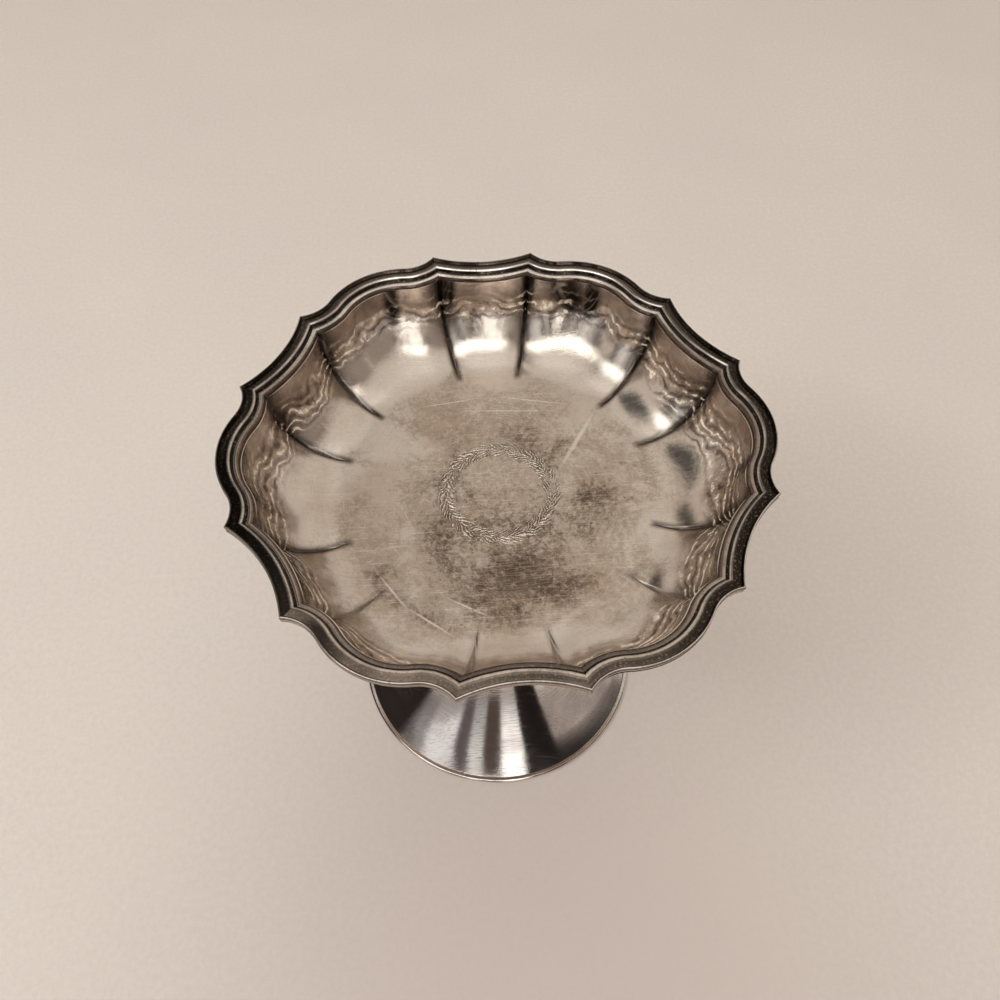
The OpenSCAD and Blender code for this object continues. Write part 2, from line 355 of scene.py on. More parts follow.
def outline_wire(bm, inset):
    """A closed wire of edges that far inside the lip, spun arc by arc, close-set at corners."""
    start = corner(inset)
    hollow_turn = 2 * math.atan2(start.y, hollow_centre.x - start.x)
    sweep = sweep_turn(inset)
    fine = 0.003
    fine_hollow = fine / (hollow_radius + inset)
    fine_sweep = math.copysign(fine / (sweep_radius + inset), sweep)
    hollow_arcs = [
        (hollow_centre, -fine_hollow, 9),
        (hollow_centre, 2 * fine_hollow - hollow_turn, 18),
        (hollow_centre, -fine_hollow, 9),
    ]
    lobe_arcs = [
        (sweep_centre, fine_sweep, 9),
        (sweep_centre, sweep - fine_sweep, 6),
        (crown_centre, 2 * crown_half_angle, 22),
        (across_x(sweep_centre), sweep - fine_sweep, 6),
        (across_x(sweep_centre), fine_sweep, 9),
    ]
    for k in range(6):
        hollow_at = math.radians(90 + 60 * k)
        point = bm.verts.new(turned(across_x(start), hollow_at))
        for arcs, at in ((hollow_arcs, hollow_at), (lobe_arcs, hollow_at + lobe_turn)):
            for centre, angle, steps in arcs:
                spun = bmesh.ops.spin(
                    bm,
                    geom=[point],
                    cent=turned(centre, at),
                    axis=(0, 0, 1),
                    angle=angle,
                    steps=steps,
                )
                point = spun["geom_last"][0]
    bmesh.ops.remove_doubles(bm, verts=bm.verts, dist=0.000001)


def underside_drop(inset):
    return lip_edge + flange_fall * inset / moulding_width


# The sheet grows ring by ring from the top edge of the wall down to the floor. Each point carries
# along how far out that edge lies, how near a chased line is and how deep the line is there.
bm = bmesh.new()
reach_layer = bm.verts.layers.float.new("reach")
near_layer = bm.verts.layers.float.new("near_line")
sunk_layer = bm.verts.layers.float.new("sunk")
beside_layer = bm.verts.layers.float.new("beside_line")
climb_layer = bm.verts.layers.float.new("climb")
outline_wire(bm, wall_inset)
wall_corner_angle = math.atan2(corner(wall_inset).y, corner(wall_inset).x)
wall_top = lip_height - underside_drop(wall_inset) - solder_film
for v in bm.verts:
    angle = math.atan2(v.co.y, v.co.x) - math.radians(90)
    angle = abs((angle + lobe_turn) % (2 * lobe_turn) - lobe_turn)
    v[reach_layer] = v.co.length
    if angle < wall_corner_angle:
        v[near_layer] = (angle / wall_corner_angle) ** 3
    else:
        v[near_layer] = ((lobe_turn - angle) / (lobe_turn - wall_corner_angle)) ** 3
    away = abs(angle - wall_corner_angle) * v.co.length / line_half_width
    v[sunk_layer] = line_depth * (1 - away) ** 2 if away < 1 else 0
    v[beside_layer] = away
    v.co.z = wall_top


def wall_place(v, climb):
    """Where a point of the sheet goes on its way up the wall, 0 at the floor, 1 at the top."""
    out = Vector((v.co.x, v.co.y, 0)).normalized()
    start = floor_radius + petal_reach * v[near_layer]
    v[climb_layer] = climb
    a = climb * math.pi / 2
    spot = out * (start + (v[reach_layer] - start + v[sunk_layer]) * math.sin(a))
    spot.z = floor_height + (wall_top - floor_height) * (1 - math.cos(a))
    spot.z -= v[sunk_layer] * math.cos(a)
    return spot


def floor_place(v, share):
    """Where it goes on the floor: 0 at the foot of the wall, 1 where the chased lines end."""
    out = Vector((v.co.x, v.co.y, 0)).normalized()
    start = floor_radius + petal_reach * v[near_layer]
    v[climb_layer] = -share
    spot = out * (start + (line_end_radius - start) * share)
    spot.z = floor_height - v[sunk_layer] * (1 - share) ** 1.5
    return spot


wall_rings = 36
floor_rings = 10
edge = list(bm.edges)
for v in bm.verts:
    v.co = wall_place(v, 1)
rings = [(wall_place, 1 - i / wall_rings) for i in range(1, wall_rings + 1)]
rings += [(floor_place, i / floor_rings) for i in range(1, floor_rings + 1)]
for place, share in rings:
    grown = bmesh.ops.extrude_edge_only(bm, edges=edge)["geom"]
    edge = [e for e in grown if isinstance(e, bmesh.types.BMEdge)]
    edge = [e for e in edge if len(e.link_faces) == 1]
    for v in {v for e in edge for v in e.verts}:
        v.co = place(v, share)
bmesh.ops.edgeloop_fill(bm, edges=edge)
wall_top_edges = [e for e in bm.edges if len(e.link_faces) == 1]

# The flange reaches from the top of the wall to a second outline, just inside the lip.
flange_bm = bmesh.new()
outline_wire(flange_bm, flange_inset)
flange_mesh = bpy.data.meshes.new("flange_outline")
flange_bm.to_mesh(flange_mesh)
flange_bm.free()
bm.from_mesh(flange_mesh)
bpy.data.meshes.remove(flange_mesh)
flange_edges = [e for e in bm.edges if not e.link_faces]
for v in {v for e in flange_edges for v in e.verts}:
    v.co.z = lip_height - underside_drop(flange_inset) - solder_film
bmesh.ops.bridge_loops(bm, edges=wall_top_edges + flange_edges)
bmesh.ops.recalc_face_normals(bm, faces=bm.faces)
if max(bm.faces, key=lambda f: len(f.verts)).normal.z < 0:
    bmesh.ops.reverse_faces(bm, faces=bm.faces)
bowl = finished(bm, "bowl_sheet", crisp_above=28)
wall = bowl.modifiers.new("sheet", "SOLIDIFY")
wall.thickness = bowl_sheet
wall.offset = -1
wall.use_even_offset = True

# The bowl's finish follows a few measures: how far a point lies from the middle, how high it
# has climbed on the wall, how near it is to a chased line, and on which side of the sheet.
worn_plate = Finish("worn_plate")
spot = worn_plate.place()
to_right, to_back, _ = worn_plate.along(spot)
from_middle = worn_plate.math(
    "SQRT",
    worn_plate.math(
        "ADD", worn_plate.math("POWER", to_right, 2.0), worn_plate.math("POWER", to_back, 2.0)
    ),
)
bearing = worn_plate.math("ARCTAN2", to_back, to_right)
climb = worn_plate.carried("climb")
beside_line = worn_plate.carried("beside_line")
on_floor = worn_plate.remap(from_middle, 0.056, 0.047)
_, _, facing_up = worn_plate.along(worn_plate.node("NewGeometry").outputs["True Normal"])
inside = worn_plate.remap(facing_up, -0.05, 0.0)


def blot(vector, x, y, long, wide, turn, soft=0.0):
    """A patch of the bowl's finish: 1 in that ellipse's middle, 0 from its edge outwards."""
    on_ellipse = worn_plate.node(
        "Mapping",
        {
            "Vector": vector,
            "Location": (x, y, floor_height),
            "Rotation": (0, 0, math.radians(turn)),
            "Scale": (long, wide, 1),
        },
        vector_type="TEXTURE",
    ).outputs[0]
    away = worn_plate.node("VectorMath", {0: on_ellipse}, operation="LENGTH").outputs["Value"]
    return worn_plate.remap(away, 1.0, soft)


# Tarnish lies in soft, mottled clouds whose places the photograph shows, thickest in front of
# the middle. Each has a middle, half a length, half a width, a turn in degrees and a depth. The
# noise that frays them also carries them about 13 mm to the left and to the front.
fraying_reach = 0.026
fraying = worn_plate.node(
    "TexNoise", {"Vector": spot, "Scale": 75.0, "Detail": 7.0, "Roughness": 0.65}
).outputs["Color"]
fraying = worn_plate.node(
    "VectorMath", {0: fraying, "Scale": fraying_reach}, operation="SCALE"
).outputs[0]
frayed_spot = worn_plate.node("VectorMath", {0: spot, 1: fraying}, operation="ADD").outputs[0]
stains = 0.0
for x, y, long, wide, turn, depth in (
    (0.015, -0.02, 0.036, 0.018, 6, 1.0),
    (0.027, -0.021, 0.02, 0.013, 0, 1.0),
    (0.008, -0.016, 0.016, 0.011, 20, 1.0),
    (0.044, 0.007, 0.014, 0.02, -10, 0.58),
    (0.055, -0.02, 0.011, 0.008, 0, 0.55),
    (0.041, -0.035, 0.015, 0.008, 20, 0.45),
    (-0.014, -0.034, 0.018, 0.012, -35, 0.85),
    (-0.024, -0.023, 0.018, 0.013, -50, 0.85),
    (0.01, -0.031, 0.018, 0.01, 0, 0.8),
    (0.021, 0.035, 0.015, 0.011, 0, 0.36),
    (-0.007, -0.003, 0.012, 0.018, 0, 0.5),
):
    stain = worn_plate.times(blot(frayed_spot, x, y, long, wide, turn), depth)
    stains = worn_plate.math("MAXIMUM", stain, stains)
mottle = worn_plate.noise(spot, scale=620.0, detail=12.0, roughness=0.8, distortion=0.3)
clouds = worn_plate.noise(spot, scale=42.0, detail=10.0, roughness=0.72, distortion=0.4)
floor_haze = worn_plate.remap(from_middle, 0.044, 0.012, 0.0, 0.32)
film = worn_plate.math("ADD", worn_plate.remap(clouds, 0.38, 0.68, 0.0, 0.6), floor_haze)
tarnish = worn_plate.times(
    worn_plate.math(
        "ADD",
        worn_plate.times(stains, worn_plate.remap(mottle, 0.34, 0.62, 0.4, 1.0)),
        worn_plate.times(film, worn_plate.remap(mottle, 0.34, 0.64, 0.15, 1.2)),
        clamp=True,
    ),
    worn_plate.remap(on_floor, 0.0, 1.0, 0.3, 1.0),
    worn_plate.remap(to_back, 0.024, 0.042, 1.0, 0.55),
)
warmth = worn_plate.noise(spot, scale=34.0, detail=5.0, roughness=0.6)
warm_tarnish = worn_plate.times(
    worn_plate.remap(warmth, 0.45, 0.64, 0.0, 0.4), worn_plate.remap(to_back, 0.055, 0.03)
)
grains = worn_plate.noise(spot, scale=1500.0, detail=6.0, roughness=0.75)
flecks = worn_plate.times(
    worn_plate.remap(grains, 0.5, 0.66, 0.0, 0.75), worn_plate.remap(tarnish, 0.0, 0.8, 0.15, 1.0)
)

# The wall is painted palest in front, a painted reflection, and turns brown on its way up, a
# little later at the back and at the left. The brown is partly tarnish and partly painted
# reflection. Nearly black tarnish, darkened by painted shade, lies along the chased lines, and
# painted dark reflections lie in smears under the rim.
painted_pale_front = worn_plate.times(
    worn_plate.remap(to_back, -0.035, -0.058), worn_plate.remap(climb, 0.15, 0.5, 0.0, 0.75)
)
# The brown starts higher at the back and at the left, where a painted reflection keeps the wall
# pale.
painted_bright_rise = worn_plate.math(
    "MAXIMUM",
    worn_plate.remap(to_back, 0.02, 0.055, 0.0, 0.2),
    worn_plate.remap(to_right, -0.03, -0.055, 0.0, 0.07),
)
brown_climb = worn_plate.math("SUBTRACT", climb, painted_bright_rise)
# Brown high up on the wall: partly tarnish and partly a painted reflection of the dark room.
brown_and_painted_dark = worn_plate.times(
    worn_plate.remap(brown_climb, 0.38, 0.8, 0.0, 0.9),
    worn_plate.remap(to_back, -0.05, -0.015),
    worn_plate.remap(clouds, 0.4, 0.6, 0.3, 1.0),
)
# Tarnish in the chased lines, darkened further by painted dark reflection, most at the back.
line_dark = worn_plate.times(
    worn_plate.remap(beside_line, 2.3, 0.2, 0.0, 0.85),
    worn_plate.remap(climb, -0.9, -0.5),
    worn_plate.remap(to_back, -0.045, -0.02, 0.3, 1.0),
)
# Painted dark reflections and shade beside the chased lines high up, and at these places under the
# rim.
painted_dark_smears = worn_plate.times(
    worn_plate.remap(beside_line, 5.0, 0.5, 0.0, 0.95),
    worn_plate.remap(climb, 0.2, 0.8),
    worn_plate.remap(clouds, 0.34, 0.56, 0.3, 1.0),
)
for x, y, long, wide, turn in (
    (0.028, 0.0685, 0.013, 0.0034, -20),
    (0.037, 0.0655, 0.005, 0.0045, -20),
    (-0.032, 0.0675, 0.0045, 0.0035, 20),
    (0.0155, 0.0715, 0.004, 0.0035, 0),
    (-0.0125, 0.0715, 0.004, 0.003, 0),
    (0.0685, 0.0315, 0.006, 0.003, -64),
    (0.0735, -0.012, 0.009, 0.003, -80),
):
    painted_dark_smears = worn_plate.math("MAXIMUM", painted_dark_smears, blot(spot, x, y, long, wide, turn, soft=0.3))

# The windows' light and the dark between them are painted along the wall in thin rows: painted
# reflections and painted shade, as a rippled wall would show them.
rows_up_wall = 72.0
row_wander = 30.0
ripples = worn_plate.noise(spot, scale=80.0)
rows = worn_plate.math(
    "SINE",
    worn_plate.math(
        "ADD", worn_plate.times(climb, rows_up_wall), worn_plate.times(ripples, row_wander)
    ),
)
broken = worn_plate.noise(worn_plate.place((260, 260, 90)), detail=5.0, roughness=0.7)
painted_rows_reach = worn_plate.times(
    inside, worn_plate.remap(brown_climb, 0.36, 0.5), worn_plate.remap(climb, 0.95, 0.7)
)
painted_glints = worn_plate.times(
    worn_plate.remap(rows, 0.35, 1.0), worn_plate.remap(broken, 0.42, 0.6), painted_rows_reach
)
painted_dark_rows = worn_plate.times(
    worn_plate.remap(rows, 0.1, -0.9), worn_plate.remap(broken, 0.6, 0.42, 0.2, 0.85), painted_rows_reach
)

# Polishing left round swirls, fine scratches from side to side and a few long pale streaks. Each
# turn takes the scratches from another part of the noise.
swirl_place = worn_plate.node(
    "CombineXYZ", {0: worn_plate.times(from_middle, 2600.0), 1: worn_plate.times(bearing, 3.0)}
).outputs[0]
swirls = worn_plate.remap(worn_plate.noise(swirl_place, roughness=0.6), 0.52, 0.7)
scratches = worn_plate.times(swirls, 0.45)
for turn in (0.35, 1.2, 2.5):
    hairs = worn_plate.noise(worn_plate.place((60, 2300, 40), turn), roughness=0.65)
    hairs = worn_plate.remap(hairs, 0.58, 0.72, 0.0, 0.8)
    scratches = worn_plate.math("MAXIMUM", scratches, hairs)
scratches = worn_plate.times(scratches, worn_plate.remap(on_floor, 0.0, 1.0, 0.5, 1.0))
streak_strength = 1.5
for x, y, long, wide, turn in (
    (0.0275, 0.019, 0.0185, 0.0012, 58),
    (-0.0345, -0.034, 0.011, 0.0006, -56),
    (-0.0235, -0.045, 0.012, 0.0006, -38),
    (-0.012, -0.041, 0.01, 0.0005, -30),
    (-0.014, 0.0385, 0.014, 0.0005, 8),
    (0.015, 0.0375, 0.014, 0.0005, -12),
    (0.006, 0.0335, 0.02, 0.0004, -4),
):
    streak = worn_plate.times(blot(spot, x, y, long, wide, turn, soft=0.1), streak_strength)
    scratches = worn_plate.math("MAXIMUM", scratches, streak)

# A wreath of two rows of leaves is engraved round the middle of the floor, worn thin. The rows
# lean opposite ways, by one leaf round for every 1.05 mm outwards.
leaves_in_row = 54
out_for_one_leaf = 0.00105
leaves_round = worn_plate.times(bearing, leaves_in_row / math.tau)
leaf_wander = worn_plate.remap(worn_plate.noise(spot, scale=260.0), 0.2, 0.8, -0.9, 0.9)
leaves = 0.0
for row_radius, lean in ((0.0159, 1), (0.0183, -1)):
    out_from_row = worn_plate.math("SUBTRACT", from_middle, row_radius)
    slant = worn_plate.times(out_from_row, lean / out_for_one_leaf)
    phase = worn_plate.math("ADD", worn_plate.math("ADD", leaves_round, slant), leaf_wander)
    leaf = worn_plate.times(
        worn_plate.math("SINE", worn_plate.times(phase, math.tau)),
        worn_plate.remap(worn_plate.math("ABSOLUTE", out_from_row), 0.0019, 0.0009),
    )
    leaves = worn_plate.math("ADD", leaf, leaves)
leaf_wear = worn_plate.noise(spot, scale=330.0, detail=4.0)
leaves = worn_plate.times(leaves, inside, worn_plate.remap(leaf_wear, 0.38, 0.54, 0.35, 1.2))

# The colours go from clean plate to the thickest tarnish, and then one over another.
clean_plate = (0.7, 0.62, 0.545, 1)
plate_colour = worn_plate.ramp(
    tarnish,
    (0.0, clean_plate),
    (0.3, (0.5, 0.415, 0.34, 1)),
    (0.7, (0.27, 0.2, 0.15, 1)),
    (1.0, (0.12, 0.085, 0.065, 1)),
)
for share, colour in (
    (painted_pale_front, (0.98, 0.91, 0.83, 1)),
    (warm_tarnish, (0.47, 0.34, 0.25, 1)),
    (brown_and_painted_dark, (0.42, 0.34, 0.3, 1)),
    (painted_dark_rows, (0.13, 0.095, 0.078, 1)),
    (painted_dark_smears, (0.02, 0.014, 0.011, 1)),
    (line_dark, (0.05, 0.038, 0.032, 1)),
    (worn_plate.times(scratches, 0.5), (0.92, 0.85, 0.76, 1)),
    (worn_plate.times(painted_glints, 0.9), (1.0, 0.89, 0.74, 1)),
    (flecks, (0.11, 0.078, 0.06, 1)),
    (worn_plate.remap(leaves, 0.3, 0.75, 0.0, 0.75), (0.94, 0.86, 0.75, 1)),
    (worn_plate.remap(leaves, -0.3, -0.8, 0.0, 0.5), (0.14, 0.1, 0.08, 1)),
):
    plate_colour = worn_plate.mix(share, plate_colour, colour)
outside_colour = worn_plate.mix(
    worn_plate.remap(clouds, 0.4, 0.66, 0.0, 0.75), clean_plate, (0.4, 0.33, 0.28, 1)
)
inside_dullness = worn_plate.mix(
    on_floor,
    worn_plate.remap(climb, 0.15, 0.5, 0.13, 0.03),
    worn_plate.remap(tarnish, 0.0, 1.0, 0.26, 0.42),
)
outside_dullness = worn_plate.remap(clouds, 0.35, 0.7, 0.1, 0.2)
waves = worn_plate.times(
    worn_plate.noise(spot, scale=75.0, roughness=0.45),
    worn_plate.remap(climb, 0.3, 0.75, 0.25, 1.0),
)
relief = worn_plate.bump(waves, distance=0.0009)
relief = worn_plate.bump(leaves, distance=0.00012, below=relief)
relief = worn_plate.bump(scratches, distance=0.00002, below=relief)
relief = worn_plate.bump(mottle, distance=0.00005, below=relief)
# The painted glints are made less metallic, so that the lamp and the room light them into bright
# painted highlights.
worn_plate.feed("Metallic", worn_plate.remap(painted_glints, 0.0, 1.0, 1.0, 0.2))
worn_plate.feed("Base Color", worn_plate.mix(inside, outside_colour, plate_colour))
worn_plate.feed("Roughness", worn_plate.mix(inside, outside_dullness, inside_dullness))
worn_plate.feed("Normal", relief)
bowl.data.materials.append(worn_plate.material)
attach(bowl, "root")
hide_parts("bowl")


# The rim is moulded strip of silver plate in twelve lengths, soldered on the flange: a thin lip,
# a channel, a broad band rising to a crest, a groove and a bead. Each is bent to its arc and
# mitred. The section is given by how far inside the lip and how far below its top it lies.
across_moulding = [
    (0.0, -lip_edge),
    (0.0, -0.0002),
    (0.00006, -0.00006),
    (0.0002, 0.0),
    (0.0005, 0.0),
    (0.0006, -0.00006),
    (0.0007, -0.00028),
    (0.00082, -0.00066),
    (0.00095, -0.00085),
    (0.00135, -0.00079),
    (0.0018, -0.0007),
    (0.0022, -0.00063),
    (0.0026, -0.00057),
    (0.00295, -0.00052),
    (0.0033, -0.0005),
    (0.00355, -0.00056),
    (0.00375, -0.00068),
    (0.00395, -0.00086),
    (0.0041, -0.00105),
    (0.0043, -0.00141),
    (0.0045, -0.00175),
    (0.00468, -0.00193),
    (0.0049, -0.002),
    (0.0051, -0.00197),
    (0.0054, -0.00195),
    (0.00565, -0.00197),
    (0.0059, -0.00205),
    (0.00612, -0.0022),
    (0.0063, -0.0024),
    (0.00647, -0.00265),
    (0.0066, -0.00295),
    (0.00666, -0.00315),
    (moulding_width, -underside_drop(moulding_width)),
]
mitre_way = corner(moulding_width) - corner(0)
mitre_normal = Vector((mitre_way.y, -mitre_way.x, 0)).normalized()


def moulding_wire(bm, centre, radius, side, angle):
    """The strip's section, standing on the arc of that centre at that angle from it.

    The side is 1 where the centre lies outside the bowl, and -1 where it lies inside.
    """
    layer = bm.verts.layers.float.get("across") or bm.verts.layers.float.new("across")
    points = []
    for inset, drop in across_moulding:
        out = turned(Vector((radius + side * inset, 0, 0)), angle)
        v = bm.verts.new(centre + out + Vector((0, 0, lip_height + drop)))
        v[layer] = inset / moulding_width
        points.append(v)
    return points + [bm.edges.new(pair) for pair in zip(points, points[1:] + points[:1])]


def bent(bm, wire, centre, angle, steps):
    spun = bmesh.ops.spin(bm, geom=wire, cent=centre, axis=(0, 0, 1), angle=angle, steps=steps)
    return spun["geom_last"]


def mitred(bm, point, normal):
    """Saws both ends off square to the table, along their mitres, and closes them."""
    for end_point, end_normal in ((point, normal), (across_x(point), across_x(normal))):
        cut = bmesh.ops.bisect_plane(
            bm,
            geom=bm.verts[:] + bm.edges[:] + bm.faces[:],
            dist=0.0000001,
            plane_co=end_point,
            plane_no=end_normal,
            clear_outer=True,
        )["geom_cut"]
        edges = [e for e in cut if isinstance(e, bmesh.types.BMEdge)]
        bmesh.ops.edgeloop_fill(bm, edges=edges)


rim_plate = Finish("rim_plate")
across = rim_plate.carried("across")
rim_haze = rim_plate.noise(rim_plate.place(), scale=140.0, detail=4.0)
rim_specks = rim_plate.noise(rim_plate.place(), scale=1500.0, detail=4.0, roughness=0.6)
# The colours across the strip are partly patina and partly painted light and shade: painted
# highlights on the lip, the crest and the bead, and near black in the channel, the band and the
# groove, patina in those hollows with painted shade over it.
patina_and_painted_light = rim_plate.ramp(
    across,
    (0.0, (0.2, 0.17, 0.15, 1)),
    (0.035, (0.85, 0.79, 0.72, 1)),
    (0.07, (0.04, 0.03, 0.023, 1)),
    (0.35, (0.045, 0.034, 0.027, 1)),
    (0.46, (0.1, 0.08, 0.067, 1)),
    (0.52, (0.4, 0.35, 0.32, 1)),
    (0.55, (0.88, 0.82, 0.76, 1)),
    (0.59, (0.75, 0.68, 0.62, 1)),
    (0.615, (0.03, 0.021, 0.016, 1)),
    (0.72, (0.015, 0.01, 0.008, 1)),
    (0.745, (0.7, 0.61, 0.54, 1)),
    (0.82, (0.58, 0.48, 0.41, 1)),
    (0.9, (0.26, 0.19, 0.15, 1)),
    (1.0, (0.14, 0.1, 0.08, 1)),
)

# The lines of the moulding aren't equally bright all round: the photograph shows brighter bands
# in front and at the back, and darker ones at the sides, and these are painted here as painted
# reflections and shade. Each band has its edges across the strip, from 0 at the lip to 1 inside,
# and a share of its colour.
rim_to_right, rim_to_back, _ = rim_plate.along(rim_plate.place())
at_front = rim_plate.remap(rim_to_back, -0.045, -0.078)
at_very_front = rim_plate.remap(rim_to_back, -0.067, -0.08)
at_back = rim_plate.remap(rim_to_back, 0.02, 0.055)
at_sides = rim_plate.remap(rim_plate.math("ABSOLUTE", rim_to_right), 0.03, 0.07)
at_front_left = rim_plate.times(
    rim_plate.remap(rim_to_back, -0.025, -0.06), rim_plate.remap(rim_to_right, 0.0, -0.03)
)
band_softness = 0.02
for place_round, band_from, band_to, share, colour in (
    (at_very_front, 0.08, 0.2, 0.42, (0.42, 0.33, 0.26, 1)),
    (at_very_front, 0.2, 0.36, 0.24, (0.42, 0.33, 0.26, 1)),
    (at_very_front, 0.36, 0.5, 0.55, (0.5, 0.41, 0.34, 1)),
    (at_front, 0.46, 0.6, 0.8, (0.85, 0.76, 0.67, 1)),
    (at_front, 0.61, 1.1, 0.88, (0.03, 0.02, 0.015, 1)),
    (at_back, 0.08, 0.5, 0.13, (0.52, 0.42, 0.34, 1)),
    (at_back, 0.74, 0.9, 0.9, (1.0, 0.95, 0.87, 1)),
    (at_sides, 0.05, 0.5, 0.75, (0.01, 0.007, 0.005, 1)),
    (at_sides, 0.5, 1.1, 0.35, (0.03, 0.022, 0.017, 1)),
    (at_front_left, 0.1, 0.48, 0.4, (0.4, 0.32, 0.26, 1)),
):
    band = rim_plate.times(
        place_round,
        rim_plate.remap(across, band_from - band_softness, band_from + band_softness, 0.0, share),
        rim_plate.remap(across, band_to + band_softness, band_to - band_softness),
    )
    patina_and_painted_light = rim_plate.mix(band, patina_and_painted_light, colour)
for share, colour in (
    (rim_plate.remap(rim_haze, 0.42, 0.62, 0.0, 0.3), (0.04, 0.029, 0.022, 1)),
    (rim_plate.remap(rim_specks, 0.55, 0.68, 0.0, 0.42), (0.44, 0.36, 0.29, 1)),
    (rim_plate.remap(rim_specks, 0.45, 0.34, 0.0, 0.45), (0.05, 0.035, 0.025, 1)),
):
    patina_and_painted_light = rim_plate.mix(share, patina_and_painted_light, colour)
rim_plate.feed("Metallic", 1.0)
rim_plate.feed("Base Color", patina_and_painted_light)
rim_plate.feed("Roughness", rim_plate.remap(rim_haze, 0.3, 0.75, 0.12, 0.24))


def fitted_strip(bm, kind, number, middle_at):
    """The mitred strip, turned to its place in the rim, finished and named."""
    bmesh.ops.recalc_face_normals(bm, faces=bm.faces)
    turn = Matrix.Rotation(math.radians(middle_at), 3, "Z")
    bmesh.ops.rotate(bm, verts=bm.verts, cent=(0, 0, 0), matrix=turn)
    strip = finished(bm, f"{kind}_strip_{number}")
    strip.data.materials.append(rim_plate.material)
    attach(strip, "root")
    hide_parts(f"rim_{kind}_{number}")


overrun = 0.12
hollow_end = corner(0)
hollow_half_turn = math.atan2(hollow_end.y, hollow_centre.x - hollow_end.x) + overrun
for k in range(6):
    bm = bmesh.new()
    wire = moulding_wire(bm, hollow_centre, hollow_radius, 1, math.pi + hollow_half_turn)
    bent(bm, wire, hollow_centre, -2 * hollow_half_turn, 44)
    mitred(bm, hollow_end, mitre_normal)
    fitted_strip(bm, "hollow", k + 1, 90 + 60 * k)

lobe_end = turned(hollow_end, -lobe_turn)
lobe_mitre_normal = turned(-mitre_normal, -lobe_turn)
long_sweep = sweep_turn(0) + math.copysign(overrun, sweep_turn(0))
for k in range(6):
    bm = bmesh.new()
    wire = moulding_wire(bm, crown_centre, crown_radius, -1, -crown_half_angle)
    far_wire = bent(bm, wire, crown_centre, 2 * crown_half_angle, 34)
    bent(bm, wire, sweep_centre, -long_sweep, 16)
    bent(bm, far_wire, across_x(sweep_centre), long_sweep, 16)
    bmesh.ops.remove_doubles(bm, verts=bm.verts, dist=0.000001)
    mitred(bm, lobe_end, lobe_mitre_normal)
    fitted_strip(bm, "lobe", k + 1, 120 + 60 * k)


# The solder that joins the foot to the bowl is a small dull grey fillet, run into the corner
# between the stem's seat and the bowl while both were hot.
solder_width = 0.0014
solder_height = bowl_underside - seat_bottom
solder_profile = [
    (seat_radius, bowl_underside),
    *[
        (seat_radius + solder_width * (1 - math.cos(a)), seat_bottom + solder_height * math.sin(a))
        for a in quarter_turn(10)
    ],
]
solder = spun_piece("neck_fillet", solder_profile)
dull_solder = Finish("dull_solder")
lumps = dull_solder.noise(dull_solder.place(), scale=900.0, detail=4.0)
lumpy = dull_solder.remap(lumps, 0.3, 0.7)
dull_solder.feed("Metallic", 1.0)
dull_solder.feed(
    "Base Color", dull_solder.mix(lumpy, (0.45, 0.44, 0.42, 1), (0.33, 0.31, 0.29, 1))
)
dull_solder.feed("Roughness", dull_solder.remap(lumps, 0.3, 0.7, 0.38, 0.55))
dull_solder.feed("Normal", dull_solder.bump(lumps, distance=0.00008))
solder.data.materials.append(dull_solder.material)
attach(solder, "root")
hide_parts("neck_solder")


# The bowl stands on a pale, finely woven cloth, with a soft shadow painted on it in front of the
# bowl, a little pinker and darker. The cloth and all that follows is set up only for looks.
bm = bmesh.new()
bmesh.ops.create_grid(bm, x_segments=1, y_segments=1, size=1.6)
cloth = finished(bm, "cloth")
pale_cloth = Finish("pale_cloth")
cloth_blotches = pale_cloth.noise(pale_cloth.place(), scale=9.0)
weave = pale_cloth.noise(pale_cloth.place(), scale=420.0, detail=6.0, roughness=0.75)
cloth_shade = pale_cloth.math(
    "ADD",
    pale_cloth.remap(cloth_blotches, 0.3, 0.7, 0.0, 0.3),
    pale_cloth.remap(weave, 0.35, 0.65, 0.0, 0.7),
)
cloth_colour = pale_cloth.mix(cloth_shade, (0.78, 0.71, 0.64, 1), (0.7, 0.635, 0.59, 1))
# A soft shadow painted on the cloth in front of the bowl.
from_painted_shadow = pale_cloth.node(
    "VectorMath", {0: pale_cloth.place(shift=(-0.015, 0.13, 0))}, operation="LENGTH"
).outputs["Value"]
painted_shadow = pale_cloth.remap(from_painted_shadow, 0.22, 0.02, 0.0, 0.72)
pale_cloth.feed("Base Color", pale_cloth.mix(painted_shadow, cloth_colour, (0.57, 0.48, 0.44, 1)))
pale_cloth.feed("Roughness", 0.95)
pale_cloth.feed("Specular IOR Level", 0.1)
pale_cloth.feed("Normal", pale_cloth.bump(weave, distance=0.0002, strength=0.3))
cloth.data.materials.append(pale_cloth.material)

